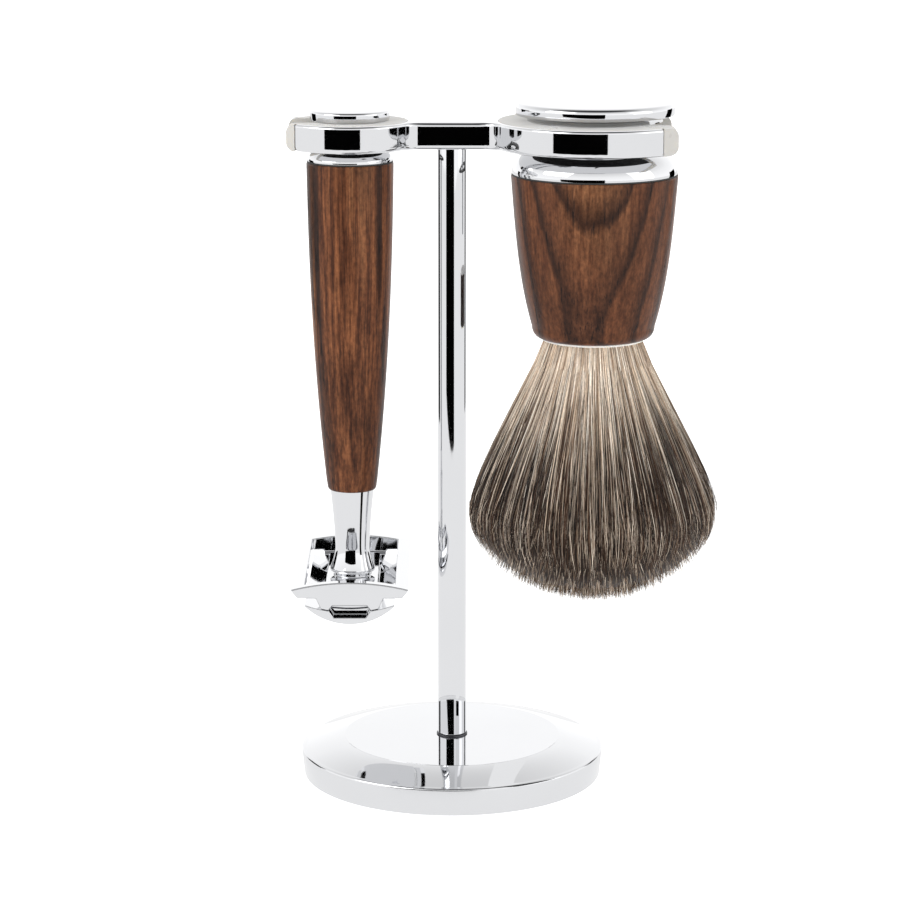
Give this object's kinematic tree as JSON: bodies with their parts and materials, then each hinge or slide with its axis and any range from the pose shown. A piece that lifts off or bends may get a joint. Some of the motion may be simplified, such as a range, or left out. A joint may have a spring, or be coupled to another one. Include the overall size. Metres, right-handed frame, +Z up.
{
  "type": "razor stand",
  "caption": "Table stand with a round weighted base, a thin post and two open rings, holding a wood-handled safety razor and a wood-handled shaving brush.",
  "frame": {"origin": "centre of the base pad's flat underside, on the post's axis, where the stand rests", "axes": "+Z up along the post; -X towards the razor's ring, +X towards the brush's ring; -Y is the front"},
  "size_m": [0.0862, 0.062, 0.1391],
  "materials": {
    "chrome": "polished",
    "steel": "plain",
    "liner": "translucent, satin",
    "ash_wood": "oiled, satin",
    "seal": "matt",
    "pad": "matt",
    "resin": "matt",
    "hair": "loose hair, light at the root and dark towards the tips"
  },
  "bodies": {
    "stand": {"base_plate": "chrome", "base_pad": "pad", "base_screw": "steel", "base_screw_washer": "steel", "post_foot_washer": "steel", "post": "chrome", "yoke_stud": "steel", "yoke": "chrome", "razor_ring_liner": "liner", "brush_ring_liner": "liner"},
    "razor_handle": {"razor_end_cap": "chrome", "razor_grip_seal": "seal", "razor_grip": "ash_wood", "razor_tie_rod": "steel", "razor_neck": "chrome"},
    "guard_plate": {"razor_guard_plate": "chrome"},
    "top_cap": {"razor_top_cap": "chrome"},
    "brush": {"brush_end_cap": "chrome", "brush_handle_seal": "seal", "brush_handle": "ash_wood", "brush_tie_screw": "steel", "knot_socket": "liner", "knot_plug": "resin", "hair_knot": "hair"}
  },
  "joints": [
    {"name": "razor_slide", "type": "slide", "parent": "stand", "child": "guard_plate", "axis": [-1, 0, 0], "range_m": [0, 0.06]},
    {"name": "brush_slide", "type": "slide", "parent": "stand", "child": "brush", "axis": [1, 0, 0], "range_m": [0, 0.07]},
    {"name": "handle_turn", "type": "hinge", "parent": "guard_plate", "child": "razor_handle", "pos_m": [-0.0203, 0, 0.04295], "axis": [0, 0, 1], "range_deg": [0, 3600]},
    {"name": "cap_travel", "type": "slide", "parent": "guard_plate", "child": "top_cap", "axis": [0, 0, -1], "range_m": [0, 0.008]}
  ],
  "couplings": [
    {"joint": "handle_turn", "follows": "cap_travel", "rad_per_m": 7854}
  ]
}
